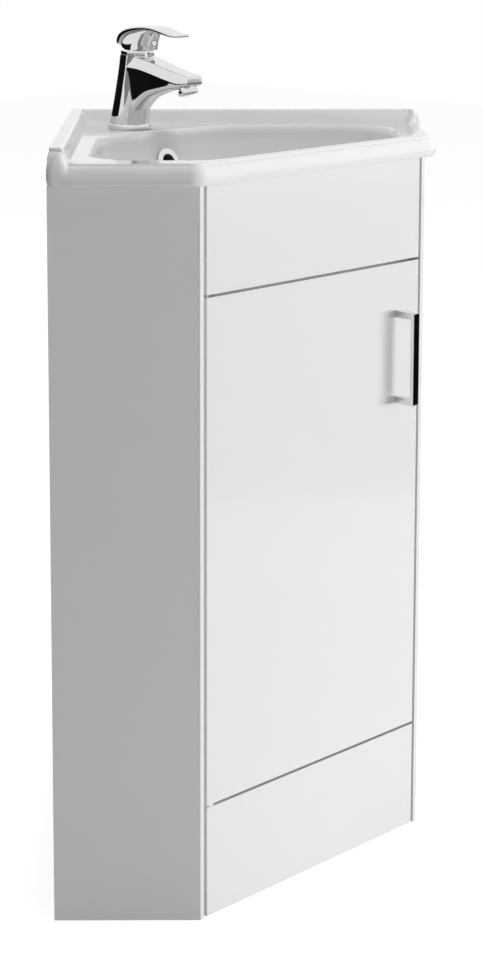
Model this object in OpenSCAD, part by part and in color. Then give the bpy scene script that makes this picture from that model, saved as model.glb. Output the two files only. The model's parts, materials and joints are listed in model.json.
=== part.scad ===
// Corner vanity unit: a five-sided cupboard for a room corner, with a pivot-hung
// door, a ceramic basin on top, a single-lever mixer tap and a click waste.
// Millimetres, +Z up. The origin is the room corner at floor level: the two walls
// run from it at 45 degrees, and the cabinet's front faces -Y.

/* [Cabinet] */
// Width of the front, measured between the outer corners of the side panels
front_w = 350; // [330:5:400]
// Length of each side panel, at a right angle to its wall
side_len = 152; // [140:2:180]
// Height of the cabinet, without the basin
cabinet_h = 770; // [740:5:860]
// Thickness of all boards
board_t = 16; // [15:0.5:18]
// Height of the plinth panel
plinth_h = 118.5; // [90:0.5:150]
// Height of the fascia panel above the door
fascia_h = 111.5; // [100:0.5:130]
// Gap above and below the door
door_gap = 3; // [2:0.5:4]
// Distance that the front panels stand back from the side panels' front arris
front_set_back = 1.2; // [0.6:0.1:3]
// Width of the narrow front-facing strip on each side panel
front_strip_w = 5.4; // [4:0.2:8]
// Gap between a front panel's end and the side panel on the hinge side
end_gap = 5.3; // [5:0.1:7]
// The same gap on the opening side
opening_gap = 2.2; // [1.8:0.1:7]
// Height of the rails along the walls
rail_h = 80; // [60:5:100]

/* [Door] */
// Distance of the pivot from the door's front face and from its end
pivot_inset = 6.5; // [6:0.1:7]
// Diameter of the pivot pins
pivot_d = 5; // [4:0.5:6]
// Distance between the handle's screw centres
handle_centres = 96; // [64:32:128]
// Width of the handle's bar
handle_bar_w = 9; // [7:0.5:10]
// Depth of the handle's front bar
handle_bar_d = 4.5; // [4:0.5:10]
// Height of each of the handle's arms
handle_arm_h = 7.5; // [7:0.5:10]
// Reach of the handle in front of the door
handle_reach = 27; // [24:1:36]
// Distance of the handle's middle line from the door's opening edge
handle_from_edge = 34.4; // [25:0.1:45]
// Height of the handle's middle above the floor
handle_z = 551.5; // [450:0.5:590]

/* [Basin] */
// Thickness of the basin's edge
basin_edge_h = 22.5; // [20:0.5:30]
// Overhang of the basin past each side panel
basin_side_over = 12; // [8:1:14]
// Overhang of the basin past the cabinet's front plane
basin_front_over = 9; // [6:1:12]
// Height of the upstand above the basin's deck
upstand_h = 15.3; // [12:0.1:25]
// Thickness of the upstand
upstand_t = 16; // [12:1:18]
// Depth of the bowl below the deck
bowl_depth = 116.5; // [110:0.5:118]
// Diameter of the tap hole
tap_hole_d = 35; // [34:0.5:36]

/* [Tap] */
// Distance of the tap's middle behind the cabinet's front plane
tap_y = 288; // [284:1:292]
// Distance from the tap's base centre to the spout's tip
spout_reach = 105; // [98:1:110]
// Height of the tap body above the deck
tap_body_h = 84.5; // [83:0.5:92]
// Distance from the tap's base centre to the lever's tip
lever_reach = 88; // [85:1:102]
// Diameter of the base ring
tap_ring_d = 49.8; // [48:0.2:54]

/* [Waste] */
// Distance of the waste's middle behind the cabinet's front plane
waste_y = 130; // [128:1:132]
// Outer diameter of the tail's thread, 1 1/4 inch pipe thread
tail_d = 41.9; // [41.5:0.1:42]
// Travel of the click plug
plug_travel = 8; // [6:1:9]

/* [Hidden] */
$fn = 64;

r2 = sqrt(2);
eps = 0.01;

// Plan of the cabinet
half_w = front_w / 2;
wall_len = front_w / r2 + side_len;
corner_x = half_w + side_len / r2;
corner_y = side_len / r2;
apex_y = corner_x + corner_y;
panel_end_x = half_w - end_gap - front_strip_w;
panel_right_x = half_w - opening_gap - front_strip_w;
front_y = front_set_back;
front_back_y = front_y + board_t;
// Distance from the front plane's corner to the side panel's inner face, along X
inner_line = half_w - board_t * r2;

// Heights
door_z0 = plinth_h + door_gap;
door_z1 = cabinet_h - fascia_h - door_gap;
door_h = door_z1 - door_z0;
fascia_z0 = cabinet_h - fascia_h;
deck_z = cabinet_h + basin_edge_h;

// Carcass details
batten_in_x = 135;
batten_d = 20;
batten_top_z = fascia_z0 + 46;
front_rail_h = 60;
front_rail_z = fascia_z0 - 18.5;
front_rail_y = front_back_y + 2;
post_w = 40;
block = 20;
wall_hole_d = 7;
wall_hole_side = 70;
wall_hole_up = 40;

// Door details
pivot_x = -panel_end_x + pivot_inset;
pivot_y = front_y + pivot_inset;
pivot_in_door = 14;
bush_d = 9;
bush_len = 10;
run_fit = 0.05;
handle_x = panel_right_x - handle_from_edge;
handle_outer_r = 1.2;
handle_inner_r = 1;
catch_x = 100;

// Basin plan: the lines that bound it are |x| - y = side_line and |x| + y = wall_line
side_line = half_w + basin_side_over * r2;
wall_line = apex_y;
basin_corner_r = 25;
upstand_inset = 0.6;
upstand_end_r = 9;
deck_t = 12;
recess_inset = 34;
waste_boss_r = 36;
waste_boss_h = 11;
ceramic_t = 10;
bowl_z = deck_z - bowl_depth;
boss_z = bowl_z - ceramic_t - waste_boss_h;
waste_hole_d = 46;
// Bowl plan at the rim, given like the basin's plan
bowl_front_y = 16;
bowl_back_y = 237;
bowl_side_line = 132;
bowl_wall_line = 333;
floor_half_x = 60;
floor_r = 35;
// Depths and insets that shape the bowl: [depth, front inset, side and rear inset]
bowl_levels = [[0, 0, 0], [6, 4, 2], [17, 10.5, 4.5], [52, 31.5, 18], [92.5, 55, 38]];
// Overflow in the bowl's rear wall, between the third and fourth levels
overflow_depth = 33.5;
rear_slope = (bowl_levels[3][2] - bowl_levels[2][2]) / (bowl_levels[3][0] - bowl_levels[2][0]);
overflow_z = deck_z - overflow_depth;
overflow_y = bowl_back_y - bowl_levels[2][2] - (overflow_depth - bowl_levels[2][0]) * rear_slope;
overflow_tilt = atan(rear_slope);
overflow_hole_d = 20.5;
overflow_ring_d = 31;
channel_w = 26;
channel_wall = 6;
// Side-view points of the overflow channel: [y, z]
channel_path = [[247, deck_z - 40], [218, bowl_z + 8], [159, boss_z + 11]];

// Tap
ring_h = 6;
tap_seal_t = 1;
// Outer radius of the seal, and height of the ring's skirt round it
seal_r = 23.5;
ring_skirt = 0.8;
body_z0 = deck_z + ring_h;
body_top_z = deck_z + tap_body_h;
head_y = tap_y - 13.5;
base_r = 22.4;
head_r = 19.7;
cartridge_r = 14;
cartridge_len = 26;
nut_ring_h = 5;
pivot_z = body_top_z;
stem_half = 4;
lift_clear = 0.8;
head_z0 = body_top_z + nut_ring_h + lift_clear;
lift_cut_angle = 20;
lever_tip_y = tap_y - lever_reach;
lever_top_z = body_top_z + 33;
aerator_y = tap_y - spout_reach + 11;
aerator_z = body_top_z - 35;
aerator_tilt = 20;
aerator_r = 11.2;
grub_r = 2.8;
// Distance from the base centre to the front of the head's lower edge
head_front = 38.5;
stud_y = tap_y + 9;
stud_d = 8;
inlet_d = 10;
inlet_x = 8.5;
inlet_y = tap_y - 7;
// Hollow under the tap body, above which the threads of its inlets and stud start
base_hollow_r = 17;
base_hollow_h = 10;
thread_len = 15;
thread_top_z = body_z0 + base_hollow_h + thread_len;
under_deck_z = deck_z - deck_t;
clamp_seal_t = 2;
clamp_t = 2.5;
clamp_z = under_deck_z - clamp_seal_t - clamp_t;
nut_h = 6.5;
stud_bottom = under_deck_z - 45;

// Waste
flange_r = 32;
flange_t = 3;
waste_r = 22;
waste_bore_r = 18;
tail_len = 56;
tail_z = boss_z - tail_len;
guide_z = boss_z - 6;
plug_stem_r = 4;
plug_r = 29;
// Bottom of the plug's stem, which stays in its guide over the whole travel
plug_stem_z = guide_z - plug_travel - 6;

// Colours
white_board = [0.92, 0.92, 0.93];
ceramic = [0.97, 0.97, 0.97];
chrome = [0.80, 0.81, 0.82];
steel = [0.66, 0.67, 0.68];
nylon = [0.90, 0.89, 0.85];
black_rubber = [0.13, 0.13, 0.13];
brass = [0.78, 0.62, 0.32];
dark_mesh = [0.35, 0.35, 0.36];

// ---------- Helpers ----------

// Shapes are drawn with y = 0 at the cabinet's front plane, and moved into the corner here
module in_corner() translate([0, -apex_y, 0]) children();

function unit(v) = v / norm(v);

// Points of one corner of an outline, rounded to radius r in n steps
function corner_arc(a, b, c, r, n) =
    r <= 0 ? [b] :
    let (
        u = unit(a - b), w = unit(c - b), half = acos(u * w) / 2,
        mid = b + unit(u + w) * r / sin(half),
        p = b + u * r / tan(half) - mid, q = b + w * r / tan(half) - mid,
        a0 = atan2(p.y, p.x), a1 = atan2(q.y, q.x),
        turn = (a1 - a0 + 540) % 360 - 180
    )
    [for (i = [0:n]) mid + r * [cos(a0 + turn * i / n), sin(a0 + turn * i / n)]];

// Outline with its corners rounded, one radius for each corner
function rounded(pts, radii, n = 6) =
    let (k = len(pts))
    [for (i = [0:k - 1]) each corner_arc(pts[(i + k - 1) % k], pts[i], pts[(i + 1) % k], radii[i], n)];

// Right half of an outline, completed with its mirror image
function both_halves(half) =
    concat(half, [for (i = [len(half) - 1:-1:0]) if (half[i].x > eps) [-half[i].x, half[i].y]]);

// Frame of the left wall: X runs along the wall to the corner, Y points into the wall
module left_wall() translate([-corner_x, corner_y, 0]) rotate([0, 0, 45]) children();

module right_wall() mirror([1, 0, 0]) left_wall() children();

module both_walls() {
    left_wall() children();
    right_wall() children();
}

module both_sides() {
    children();
    mirror([1, 0, 0]) children();
}

// Cylinder along Y from y0 to y1
module along_y(x, y0, y1, z, r) translate([x, y1, z]) rotate([90, 0, 0]) cylinder(r = r, h = y1 - y0);

module ring(r_out, r_in, h) difference() {
    cylinder(r = r_out, h = h);
    translate([0, 0, -1]) cylinder(r = r_in, h = h + 2);
}

// Countersunk wood screw along +Z, its head's top at z = 0
module wood_screw(len, r = 2, head_r = 4) {
    translate([0, 0, -3]) cylinder(r1 = r, r2 = head_r, h = 3);
    translate([0, 0, -len]) cylinder(r = r, h = len - 3 + eps);
}

// ---------- Carcass ----------

// Plan of the left side panel: outer face, front strip, return, inner face, wall edge
module side_panel_plan() polygon([
    [-half_w, 0],
    [-half_w + front_strip_w, 0],
    [-half_w + front_strip_w, half_w - front_strip_w - inner_line],
    [-corner_x + board_t / r2, corner_y + board_t / r2],
    [-corner_x, corner_y]
]);

module side_panel() linear_extrude(cabinet_h) side_panel_plan();

module left_side_panel() color(white_board) in_corner() side_panel();

module right_side_panel() color(white_board) in_corner() mirror([1, 0, 0]) side_panel();

module base_panel() color(white_board) in_corner() translate([0, 0, plinth_h - board_t]) difference() {
    linear_extrude(board_t) polygon(both_halves([
        [inner_line + front_back_y, front_back_y],
        [corner_x - board_t / r2, corner_y + board_t / r2],
        [0, apex_y]
    ]));
    left_wall() translate([wall_len - post_w, -post_w, -1]) cube([post_w + 1, post_w + 1, board_t + 2]);
}

module front_panel(z, h) translate([-panel_end_x, front_y, z])
    cube([panel_end_x + panel_right_x, board_t, h]);

module plinth_panel() color(white_board) in_corner() difference() {
    front_panel(0, plinth_h);
    translate([pivot_x, pivot_y, plinth_h - bush_len]) cylinder(d = bush_d, h = bush_len + 1);
}

module fascia_panel() color(white_board) in_corner() difference() {
    front_panel(fascia_z0, fascia_h);
    translate([pivot_x, pivot_y, fascia_z0 - 1]) cylinder(d = bush_d, h = bush_len + 1);
}

// Cross rail behind the fascia, which stops the door and carries the catch
module front_rail() color(white_board) in_corner()
    translate([-batten_in_x, front_rail_y, front_rail_z]) cube([2 * batten_in_x, board_t, front_rail_h]);

// Batten in the corner between a side panel and a front panel
module batten(h) linear_extrude(h) polygon([
    [-inner_line - front_back_y, front_back_y],
    [-batten_in_x, front_back_y],
    [-batten_in_x, front_back_y + batten_d],
    [-inner_line - front_back_y - batten_d, front_back_y + batten_d]
]);

module upper_battens() color(white_board) in_corner()
    both_sides() translate([0, 0, fascia_z0]) batten(batten_top_z - fascia_z0);

module lower_battens() color(white_board) in_corner() both_sides() batten(plinth_h - board_t);

// Rail along a wall, between the side panel and the corner post, with wall-screw holes
module wall_rail(holes) difference() {
    translate([board_t, -board_t, 0]) cube([wall_len - post_w - board_t, board_t, rail_h]);
    for (x = holes) along_y(x, -board_t - 1, 1, wall_hole_up, wall_hole_d / 2);
}

upper_holes = [board_t + wall_hole_side, wall_len - post_w - wall_hole_side];
lower_holes = [wall_len / 2];
upper_rail_z = cabinet_h - rail_h;

module left_upper_rail() color(white_board) in_corner()
    left_wall() translate([0, 0, upper_rail_z]) wall_rail(upper_holes);

module right_upper_rail() color(white_board) in_corner()
    right_wall() translate([0, 0, upper_rail_z]) wall_rail(upper_holes);

module left_lower_rail() color(white_board) in_corner()
    left_wall() translate([0, 0, plinth_h]) wall_rail(lower_holes);

module right_lower_rail() color(white_board) in_corner()
    right_wall() translate([0, 0, plinth_h]) wall_rail(lower_holes);

// Square post in the room corner, from the floor to the basin
module corner_post() color(white_board) in_corner()
    left_wall() translate([wall_len - post_w, -post_w, 0]) cube([post_w, post_w, cabinet_h]);

// Positions of the joint blocks in a wall's frame: [x, y, z], each block's low corner
block_places = [
    [board_t, -board_t - block, upper_rail_z + 30],
    [board_t, -board_t - block, plinth_h + 30],
    [board_t, -side_len / 2 - block, plinth_h]
];

// The screws reach through each block into the side panel beside it
block_screw_len = block + 11;

module joint_blocks() color(nylon) in_corner() both_walls() for (p = block_places)
    translate(p) difference() {
        cube(block);
        translate([block, block / 2, block / 2]) rotate([0, 90, 0]) {
            translate([0, 0, -block - 1]) cylinder(r = 2, h = block + 2);
            translate([0, 0, -3]) cylinder(r1 = 2, r2 = 4, h = 3);
            cylinder(r = 4, h = 1);
        }
    }

module joint_screws() color(steel) in_corner() both_walls() for (p = block_places)
    translate(p + [block, block / 2, block / 2]) rotate([0, 90, 0]) wood_screw(block_screw_len);

// Magnetic catch under the front rail
catch_size = [46, 14, 13];

catch_screw_r = 1.75;
catch_screw_x = 16;

module at_catch() translate([catch_x, front_rail_y, front_rail_z - catch_size.z]) children();

module magnet_catch() color(nylon) in_corner() at_catch() difference() {
    translate([-catch_size.x / 2, 0, 0]) cube(catch_size);
    for (s = [-1, 1]) translate([s * catch_screw_x, catch_size.y / 2, -1])
        cylinder(r = catch_screw_r, h = catch_size.z + 2);
}

module catch_screws() color(steel) in_corner() at_catch() for (s = [-1, 1])
    translate([s * catch_screw_x, catch_size.y / 2, -1.5]) {
        cylinder(r = 3.2, h = 1.5);
        cylinder(r = catch_screw_r, h = catch_size.z + 11);
    }

module door_bumpers() color(nylon) in_corner() for (x = [-batten_in_x + 60, batten_in_x - 12])
    along_y(x, front_rail_y - 1.8, front_rail_y, door_z1 - 8, 5);

// ---------- Door ----------

// Bushes in the plinth's upper edge and the fascia's lower edge
module hinge_bushes() color(nylon) in_corner() for (z = [plinth_h - bush_len, fascia_z0])
    translate([pivot_x, pivot_y, z]) ring(bush_d / 2, pivot_d / 2 + run_fit, bush_len);

// Washer that carries the door's weight on the plinth
module hinge_washer() color(nylon) in_corner()
    translate([pivot_x, pivot_y, plinth_h]) ring(6, pivot_d / 2 + run_fit, door_gap);

module door() color(white_board) in_corner() difference() {
    front_panel(door_z0, door_h);
    for (z = [door_z0 - 1, door_z1 - pivot_in_door])
        translate([pivot_x, pivot_y, z]) cylinder(d = pivot_d, h = pivot_in_door + 1);
    for (s = [-1, 1])
        along_y(handle_x, front_y - 1, front_back_y + 1, handle_z + s * handle_centres / 2, 2);
}

pin_end = bush_len - 1;

module hinge_pins() color(steel) in_corner() {
    translate([pivot_x, pivot_y, plinth_h - pin_end])
        cylinder(d = pivot_d, h = pin_end + door_gap + pivot_in_door);
    translate([pivot_x, pivot_y, door_z1 - pivot_in_door])
        cylinder(d = pivot_d, h = pin_end + door_gap + pivot_in_door);
}

handle_len = handle_centres + handle_arm_h;

// Side view of the handle, as [distance in front of the door, height]
module handle_plan() difference() {
    polygon(rounded(
        [[0, 0], [handle_reach, 0], [handle_reach, handle_len], [0, handle_len]],
        [0, handle_outer_r, handle_outer_r, 0]
    ));
    polygon(rounded([
        [-1, handle_arm_h], [handle_reach - handle_bar_d, handle_arm_h],
        [handle_reach - handle_bar_d, handle_len - handle_arm_h], [-1, handle_len - handle_arm_h]
    ], [0, handle_inner_r, handle_inner_r, 0]));
}

module handle() color(chrome) in_corner() difference() {
    translate([handle_x - handle_bar_w / 2, front_y, handle_z - handle_len / 2])
        rotate([90, 0, 90]) mirror([1, 0, 0]) linear_extrude(handle_bar_w) handle_plan();
    for (s = [-1, 1])
        along_y(handle_x, front_y - 14, front_y + 1, handle_z + s * handle_centres / 2, 2);
}

module handle_screws() color(steel) in_corner() for (s = [-1, 1]) {
    along_y(handle_x, front_y - 13, front_back_y, handle_z + s * handle_centres / 2, 2);
    along_y(handle_x, front_back_y, front_back_y + 1.4, handle_z + s * handle_centres / 2, 4.2);
}

// Steel plate on the door that meets the magnetic catch
strike_z = front_rail_z - catch_size.z / 2;

module strike_plate() color(steel) in_corner() difference() {
    translate([catch_x - 20, front_back_y, strike_z - 6]) cube([40, 1.5, 12]);
    for (x = [-14, 14]) along_y(catch_x + x, front_back_y - 1, front_back_y + 3, strike_z, 1.5);
}

module strike_screws() color(steel) in_corner() for (x = [-14, 14])
    along_y(catch_x + x, front_back_y - 10, front_back_y + 1.5, strike_z, 1.5);

// ---------- Basin ----------

// Right half of the basin's outline, set in by d from every edge
function basin_half(d) = [
    [side_line - basin_front_over + d - d * r2, -basin_front_over + d],
    [(side_line + wall_line) / 2 - d * r2, (wall_line - side_line) / 2],
    [0, wall_line - d * r2]
];

// Basin outline with rounded corners
function basin_outline(d) =
    let (h = basin_half(d), r = max(basin_corner_r - d, 2))
    rounded([[-h[0].x, h[0].y], h[0], h[1], h[2], [-h[1].x, h[1].y]], [r, r, 6, 3, 6]);

// Bowl outline, set in by d at its sides and rear and by d_front at its front
function bowl_outline(d_front, d) =
    let (
        yf = bowl_front_y + d_front, yb = bowl_back_y - d,
        xf = yf + bowl_side_line - d * r2, xs = (bowl_side_line + bowl_wall_line) / 2 - d * r2,
        ys = (bowl_wall_line - bowl_side_line) / 2, xb = bowl_wall_line - d * r2 - yb
    )
    rounded(
        [[-xf, yf], [xf, yf], [xs, ys], [xb, yb], [-xb, yb], [-xs, ys]],
        [45, 45, 30, 60, 60, 30], 5
    );

// The bowl's hollow for wall = 0, or its outer shape below the deck for wall = ceramic_t
module bowl_form(wall) hull() {
    for (s = bowl_levels) if (wall == 0 || s[0] > 0)
        translate([0, 0, deck_z - s[0] + (s[0] == 0 ? 1 : 0)])
            linear_extrude(eps) polygon(bowl_outline(s[1] - wall, s[2] - wall));
    for (x = [-1, 1]) translate([x * floor_half_x, waste_y, bowl_z - wall])
        cylinder(r = floor_r + wall, h = eps, $fn = 32);
}

// Overflow channel behind the bowl, grown by wall on every side
module channel(wall) for (i = [0:1]) hull() for (p = [channel_path[i], channel_path[i + 1]])
    translate([-channel_w / 2 - wall, p.x - 5 - wall, p.y - 5 - wall])
        cube([channel_w + 2 * wall, 10 + 2 * wall, 10 + 2 * wall]);

module overflow_axis() translate([0, overflow_y, overflow_z]) rotate([90 - overflow_tilt, 0, 0]) children();

// Plan of the upstand along both walls, set in a little from the basin's edges
module upstand_plan() {
    outer = basin_half(upstand_inset);
    side = [upstand_t, upstand_t] / r2;
    polygon(rounded([
        outer[1] - side, outer[1], outer[2],
        [-outer[1].x, outer[1].y], [-outer[1].x + side.x, outer[1].y - side.y],
        outer[2] - [0, upstand_t * r2]
    ], [2, 5, 3, 5, 2, 10]));
}

// What is cut off to round an upstand's open end down to the deck
module upstand_end_cut() {
    at_end = -basin_side_over + upstand_end_r;
    difference() {
        translate([at_end - 20, -30, deck_z + upstand_h - upstand_end_r]) cube([20, 40, 20]);
        translate([at_end, 20, deck_z + upstand_h - upstand_end_r])
            rotate([90, 0, 0]) cylinder(r = upstand_end_r, h = 60);
    }
}

module upstands() difference() {
    translate([0, 0, deck_z - 1]) linear_extrude(upstand_h + 1) upstand_plan();
    both_walls() upstand_end_cut();
}

module basin() color(ceramic) in_corner() difference() {
    union() {
        difference() {
            translate([0, 0, cabinet_h]) linear_extrude(basin_edge_h) polygon(basin_outline(0));
            translate([0, 0, cabinet_h - 1]) linear_extrude(basin_edge_h - deck_t + 1)
                polygon(basin_outline(recess_inset));
        }
        upstands();
        bowl_form(ceramic_t);
        translate([0, waste_y, boss_z]) cylinder(r = waste_boss_r, h = waste_boss_h + ceramic_t);
        channel(channel_wall);
    }
    bowl_form(0);
    channel(0);
    overflow_axis() translate([0, 0, -20]) cylinder(d = overflow_hole_d, h = 30);
    translate([0, waste_y, boss_z - 1]) cylinder(d = waste_hole_d, h = waste_boss_h + ceramic_t + 2);
    translate([0, tap_y, under_deck_z - 1]) cylinder(d = tap_hole_d, h = deck_t + 2);
}

module overflow_ring() color(chrome) in_corner() overflow_axis() difference() {
    union() {
        cylinder(d = overflow_ring_d, h = 2.5);
        translate([0, 0, -8]) cylinder(d = overflow_hole_d, h = 8 + eps);
    }
    translate([0, 0, -9]) cylinder(d = overflow_hole_d - 3, h = 12);
}

// ---------- Waste ----------

module at_waste(z) translate([0, waste_y, z]) children();

module waste_body() color(chrome) in_corner() difference() {
    union() {
        at_waste(bowl_z) cylinder(r = flange_r, h = flange_t);
        at_waste(boss_z - 18) cylinder(r = waste_r, h = bowl_z + eps - boss_z + 18);
        at_waste(tail_z) cylinder(d = tail_d, h = tail_len - 18 + eps);
    }
    difference() {
        at_waste(tail_z - 1) cylinder(r = waste_bore_r, h = tail_len + 60);
        at_waste(guide_z) {
            cylinder(r = plug_stem_r + 3, h = 12);
            for (a = [0, 90]) rotate([0, 0, a]) translate([-waste_r, -1.5, 0]) cube([2 * waste_r, 3, 12]);
        }
    }
    at_waste(guide_z - 1) cylinder(r = plug_stem_r + run_fit, h = 14);
    // Overflow slots in line with the channel's lower end
    at_waste(boss_z + 7) for (a = [45:90:315]) rotate([0, 0, a])
        translate([waste_bore_r - 2, -5, 0]) cube([waste_r, 10, 9]);
}

module waste_seal() color(black_rubber) in_corner() at_waste(boss_z - 3) ring(30, waste_r, 3);

module waste_washer() color(steel) in_corner() at_waste(boss_z - 5) ring(30, waste_r, 2);

module waste_nut() color(brass) in_corner() at_waste(boss_z - 14) difference() {
    cylinder(r = 31, h = 9, $fn = 6);
    translate([0, 0, -1]) cylinder(r = waste_r, h = 11);
}

// Click plug: a domed cap on a stem that slides in the waste's guide
plug_z = bowl_z + flange_t + 2;

module waste_plug() color(chrome) in_corner() at_waste(plug_z) {
    rotate_extrude() polygon([[0, 0], [plug_r, 0], [plug_r, 2], [24, 4.5], [14, 6.5], [0, 7.4]]);
    translate([0, 0, plug_stem_z - plug_z]) cylinder(r = plug_stem_r, h = plug_z - plug_stem_z + eps);
}

module plug_seal() color(black_rubber) in_corner() at_waste(plug_z - 1.6) ring(22, plug_stem_r, 1.6);

// ---------- Tap ----------

module at_tap(z) translate([0, tap_y, z]) children();

module at_head(z) translate([0, head_y, z]) children();

module tap_base_seal() color(black_rubber) in_corner() at_tap(deck_z) ring(seal_r, 16.5, tap_seal_t);

module tap_base_ring() color(chrome) in_corner() at_tap(deck_z + tap_seal_t) difference() {
    rotate_extrude() polygon([
        [0, 0], [seal_r + 0.4, 0], [seal_r + 0.4, -ring_skirt], [tap_ring_d / 2, -ring_skirt],
        [tap_ring_d / 2, 4.1], [tap_ring_d / 2 - 0.3, 4.7], [tap_ring_d / 2 - 0.9, 5], [0, 5]
    ]);
    for (s = [-1, 1]) translate([s * inlet_x, inlet_y - tap_y, -1]) cylinder(d = inlet_d + 1, h = 8);
    translate([0, stud_y - tap_y, -1]) cylinder(d = stud_d, h = 8);
}

// Leaning column of the tap body
module tap_column() hull() {
    at_tap(body_z0) cylinder(r = base_r, h = eps, $fn = 64);
    at_tap(body_z0 + 30) translate([0, -4.5, 0]) cylinder(r = 21.4, h = eps, $fn = 64);
    at_head(body_top_z - eps) cylinder(r = head_r, h = eps, $fn = 64);
}

// Section of the spout at a distance y in front of the base centre
module spout_section(y, half, z0, z1) translate([0, tap_y - y, 0]) rotate([90, 0, 0]) linear_extrude(eps)
    polygon(rounded(
        [[-half, z0], [half, z0], [half * 0.9, z1], [-half * 0.9, z1]],
        [min(5, (z1 - z0) / 3), min(5, (z1 - z0) / 3), 3, 3], 4
    ));

module spout() {
    hull() {
        spout_section(18, 18.5, body_top_z - 52, body_top_z - 1);
        spout_section(62, 15.5, body_top_z - 41, body_top_z - 9);
    }
    hull() {
        spout_section(62, 15.5, body_top_z - 41, body_top_z - 9);
        spout_section(84, 14, body_top_z - 38.5, body_top_z - 15);
        spout_section(spout_reach, 13.5, body_top_z - 31.5, body_top_z - 20.5);
    }
}

module at_aerator() translate([0, aerator_y, aerator_z]) rotate([-aerator_tilt, 0, 0]) children();

module tap_body() color(chrome) in_corner() difference() {
    union() {
        tap_column();
        spout();
    }
    at_head(body_top_z - cartridge_len) cylinder(r = cartridge_r, h = cartridge_len + 1);
    at_aerator() {
        translate([0, 0, -8]) cylinder(r = aerator_r, h = 8);
        cylinder(r = 10, h = 6);
    }
    at_tap(body_z0 - 1) cylinder(r = base_hollow_r, h = base_hollow_h + 1);
    for (s = [-1, 1]) translate([s * inlet_x, inlet_y, body_z0])
        cylinder(d = inlet_d, h = thread_top_z - body_z0);
    translate([0, stud_y, body_z0]) cylinder(d = stud_d, h = thread_top_z - body_z0);
}

module tap_cartridge() color(nylon) in_corner() at_head(body_top_z - cartridge_len) difference() {
    cylinder(r = cartridge_r, h = cartridge_len);
    translate([0, 0, cartridge_len - 12]) cylinder(r = 11 + run_fit, h = 13);
}

module cartridge_nut() color(chrome) in_corner()
    at_head(body_top_z) ring(head_r - 0.7, 12.5, nut_ring_h);

// Turning part of the cartridge, with the cross pin's bore for the stem
module cartridge_rotor() color(nylon) in_corner() at_head(body_top_z - 11.7) difference() {
    cylinder(r = 11, h = 14);
    translate([-stem_half - 0.4, -9, 3]) cube([2 * stem_half + 0.8, 18, 12]);
    translate([-12, 0, 11.7]) rotate([0, 90, 0]) cylinder(r = 1.5 + run_fit, h = 24);
}

// Stem with its cross pin, on the lift axis
module cartridge_stem() color(steel) in_corner() at_head(pivot_z) {
    translate([-stem_half, -3, -6]) cube([2 * stem_half, 6, 24]);
    translate([-10.4, 0, 0]) rotate([0, 90, 0]) cylinder(r = 1.5, h = 20.8);
}

// Dome over the cartridge, running forward into the flat lever
module head_shell() {
    hull() {
        at_head(head_z0) cylinder(r = 19, h = 8, $fn = 48);
        at_head(body_top_z + 25) translate([0, -2, 0]) scale([1, 1, 0.55]) sphere(r = 14.5, $fn = 32);
        translate([-10, tap_y - head_front, head_z0 + 1]) cube([20, 2, 1]);
        translate([-11, tap_y - head_front - 8, body_top_z + 27]) cube([22, 2, 2]);
    }
    hull() {
        at_head(lever_top_z - 5) translate([0, -12, 0]) cylinder(r = 13, h = 4, $fn = 32);
        translate([0, tap_y - 62, lever_top_z - 7]) cylinder(r = 12.5, h = 4, $fn = 32);
    }
    hull() {
        translate([0, tap_y - 62, lever_top_z - 7]) cylinder(r = 12.5, h = 4, $fn = 32);
        translate([0, lever_tip_y + 9, lever_top_z - 13]) cylinder(r = 9, h = 3, $fn = 32);
    }
}

module tap_head() color(chrome) in_corner() difference() {
    head_shell();
    // Clearance behind the axis, so that the lever can lift
    at_head(head_z0) rotate([lift_cut_angle, 0, 0]) translate([-30, 0, -20]) cube([60, 40, 20]);
    translate([-stem_half, head_y - 3, head_z0 - 1]) cube([2 * stem_half, 6, pivot_z + 18 - head_z0 + 1]);
    plug_axis() translate([0, 0, -6]) cylinder(r = grub_r, h = 20);
}

// Axis of the grub screw in the front of the head
module plug_axis() translate([0, tap_y - head_front - 1.5, body_top_z + 13.5]) rotate([75, 0, 0]) children();

module lever_plug() color(steel) in_corner()
    plug_axis() translate([0, 0, -3]) cylinder(r = grub_r, h = 4);

module aerator_housing() color(chrome) in_corner() at_aerator() difference() {
    union() {
        translate([0, 0, -5]) cylinder(r = aerator_r, h = 5);
        cylinder(r = 10, h = 4);
    }
    translate([0, 0, -6]) cylinder(r = 8.5, h = 12);
}

module aerator_insert() color(dark_mesh) in_corner() at_aerator() translate([0, 0, -4]) difference() {
    cylinder(r = 8.5, h = 6);
    for (a = [0:60:300]) rotate([0, 0, a]) translate([5, 0, -1]) cylinder(r = 1.3, h = 8);
    translate([0, 0, -1]) cylinder(r = 1.3, h = 8);
}

module tap_stud() color(steel) in_corner() translate([0, stud_y, stud_bottom])
    cylinder(d = stud_d, h = thread_top_z - stud_bottom);

// Horseshoe plan that goes round the inlets and clamps under the deck
module clamp_plan() difference() {
    translate([0, tap_y, 0]) circle(r = 25);
    translate([-14.5, tap_y - 30, 0]) square([29, 30]);
    translate([0, stud_y, 0]) circle(d = stud_d);
}

module tap_clamp_seal() color(black_rubber) in_corner()
    translate([0, 0, under_deck_z - clamp_seal_t]) linear_extrude(clamp_seal_t) clamp_plan();

module tap_clamp_washer() color(steel) in_corner()
    translate([0, 0, clamp_z]) linear_extrude(clamp_t) clamp_plan();

module tap_nut() color(brass) in_corner() translate([0, stud_y, clamp_z - nut_h]) difference() {
    cylinder(r = 7.5, h = nut_h, $fn = 6);
    translate([0, 0, -1]) cylinder(d = stud_d, h = nut_h + 2);
}

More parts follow.
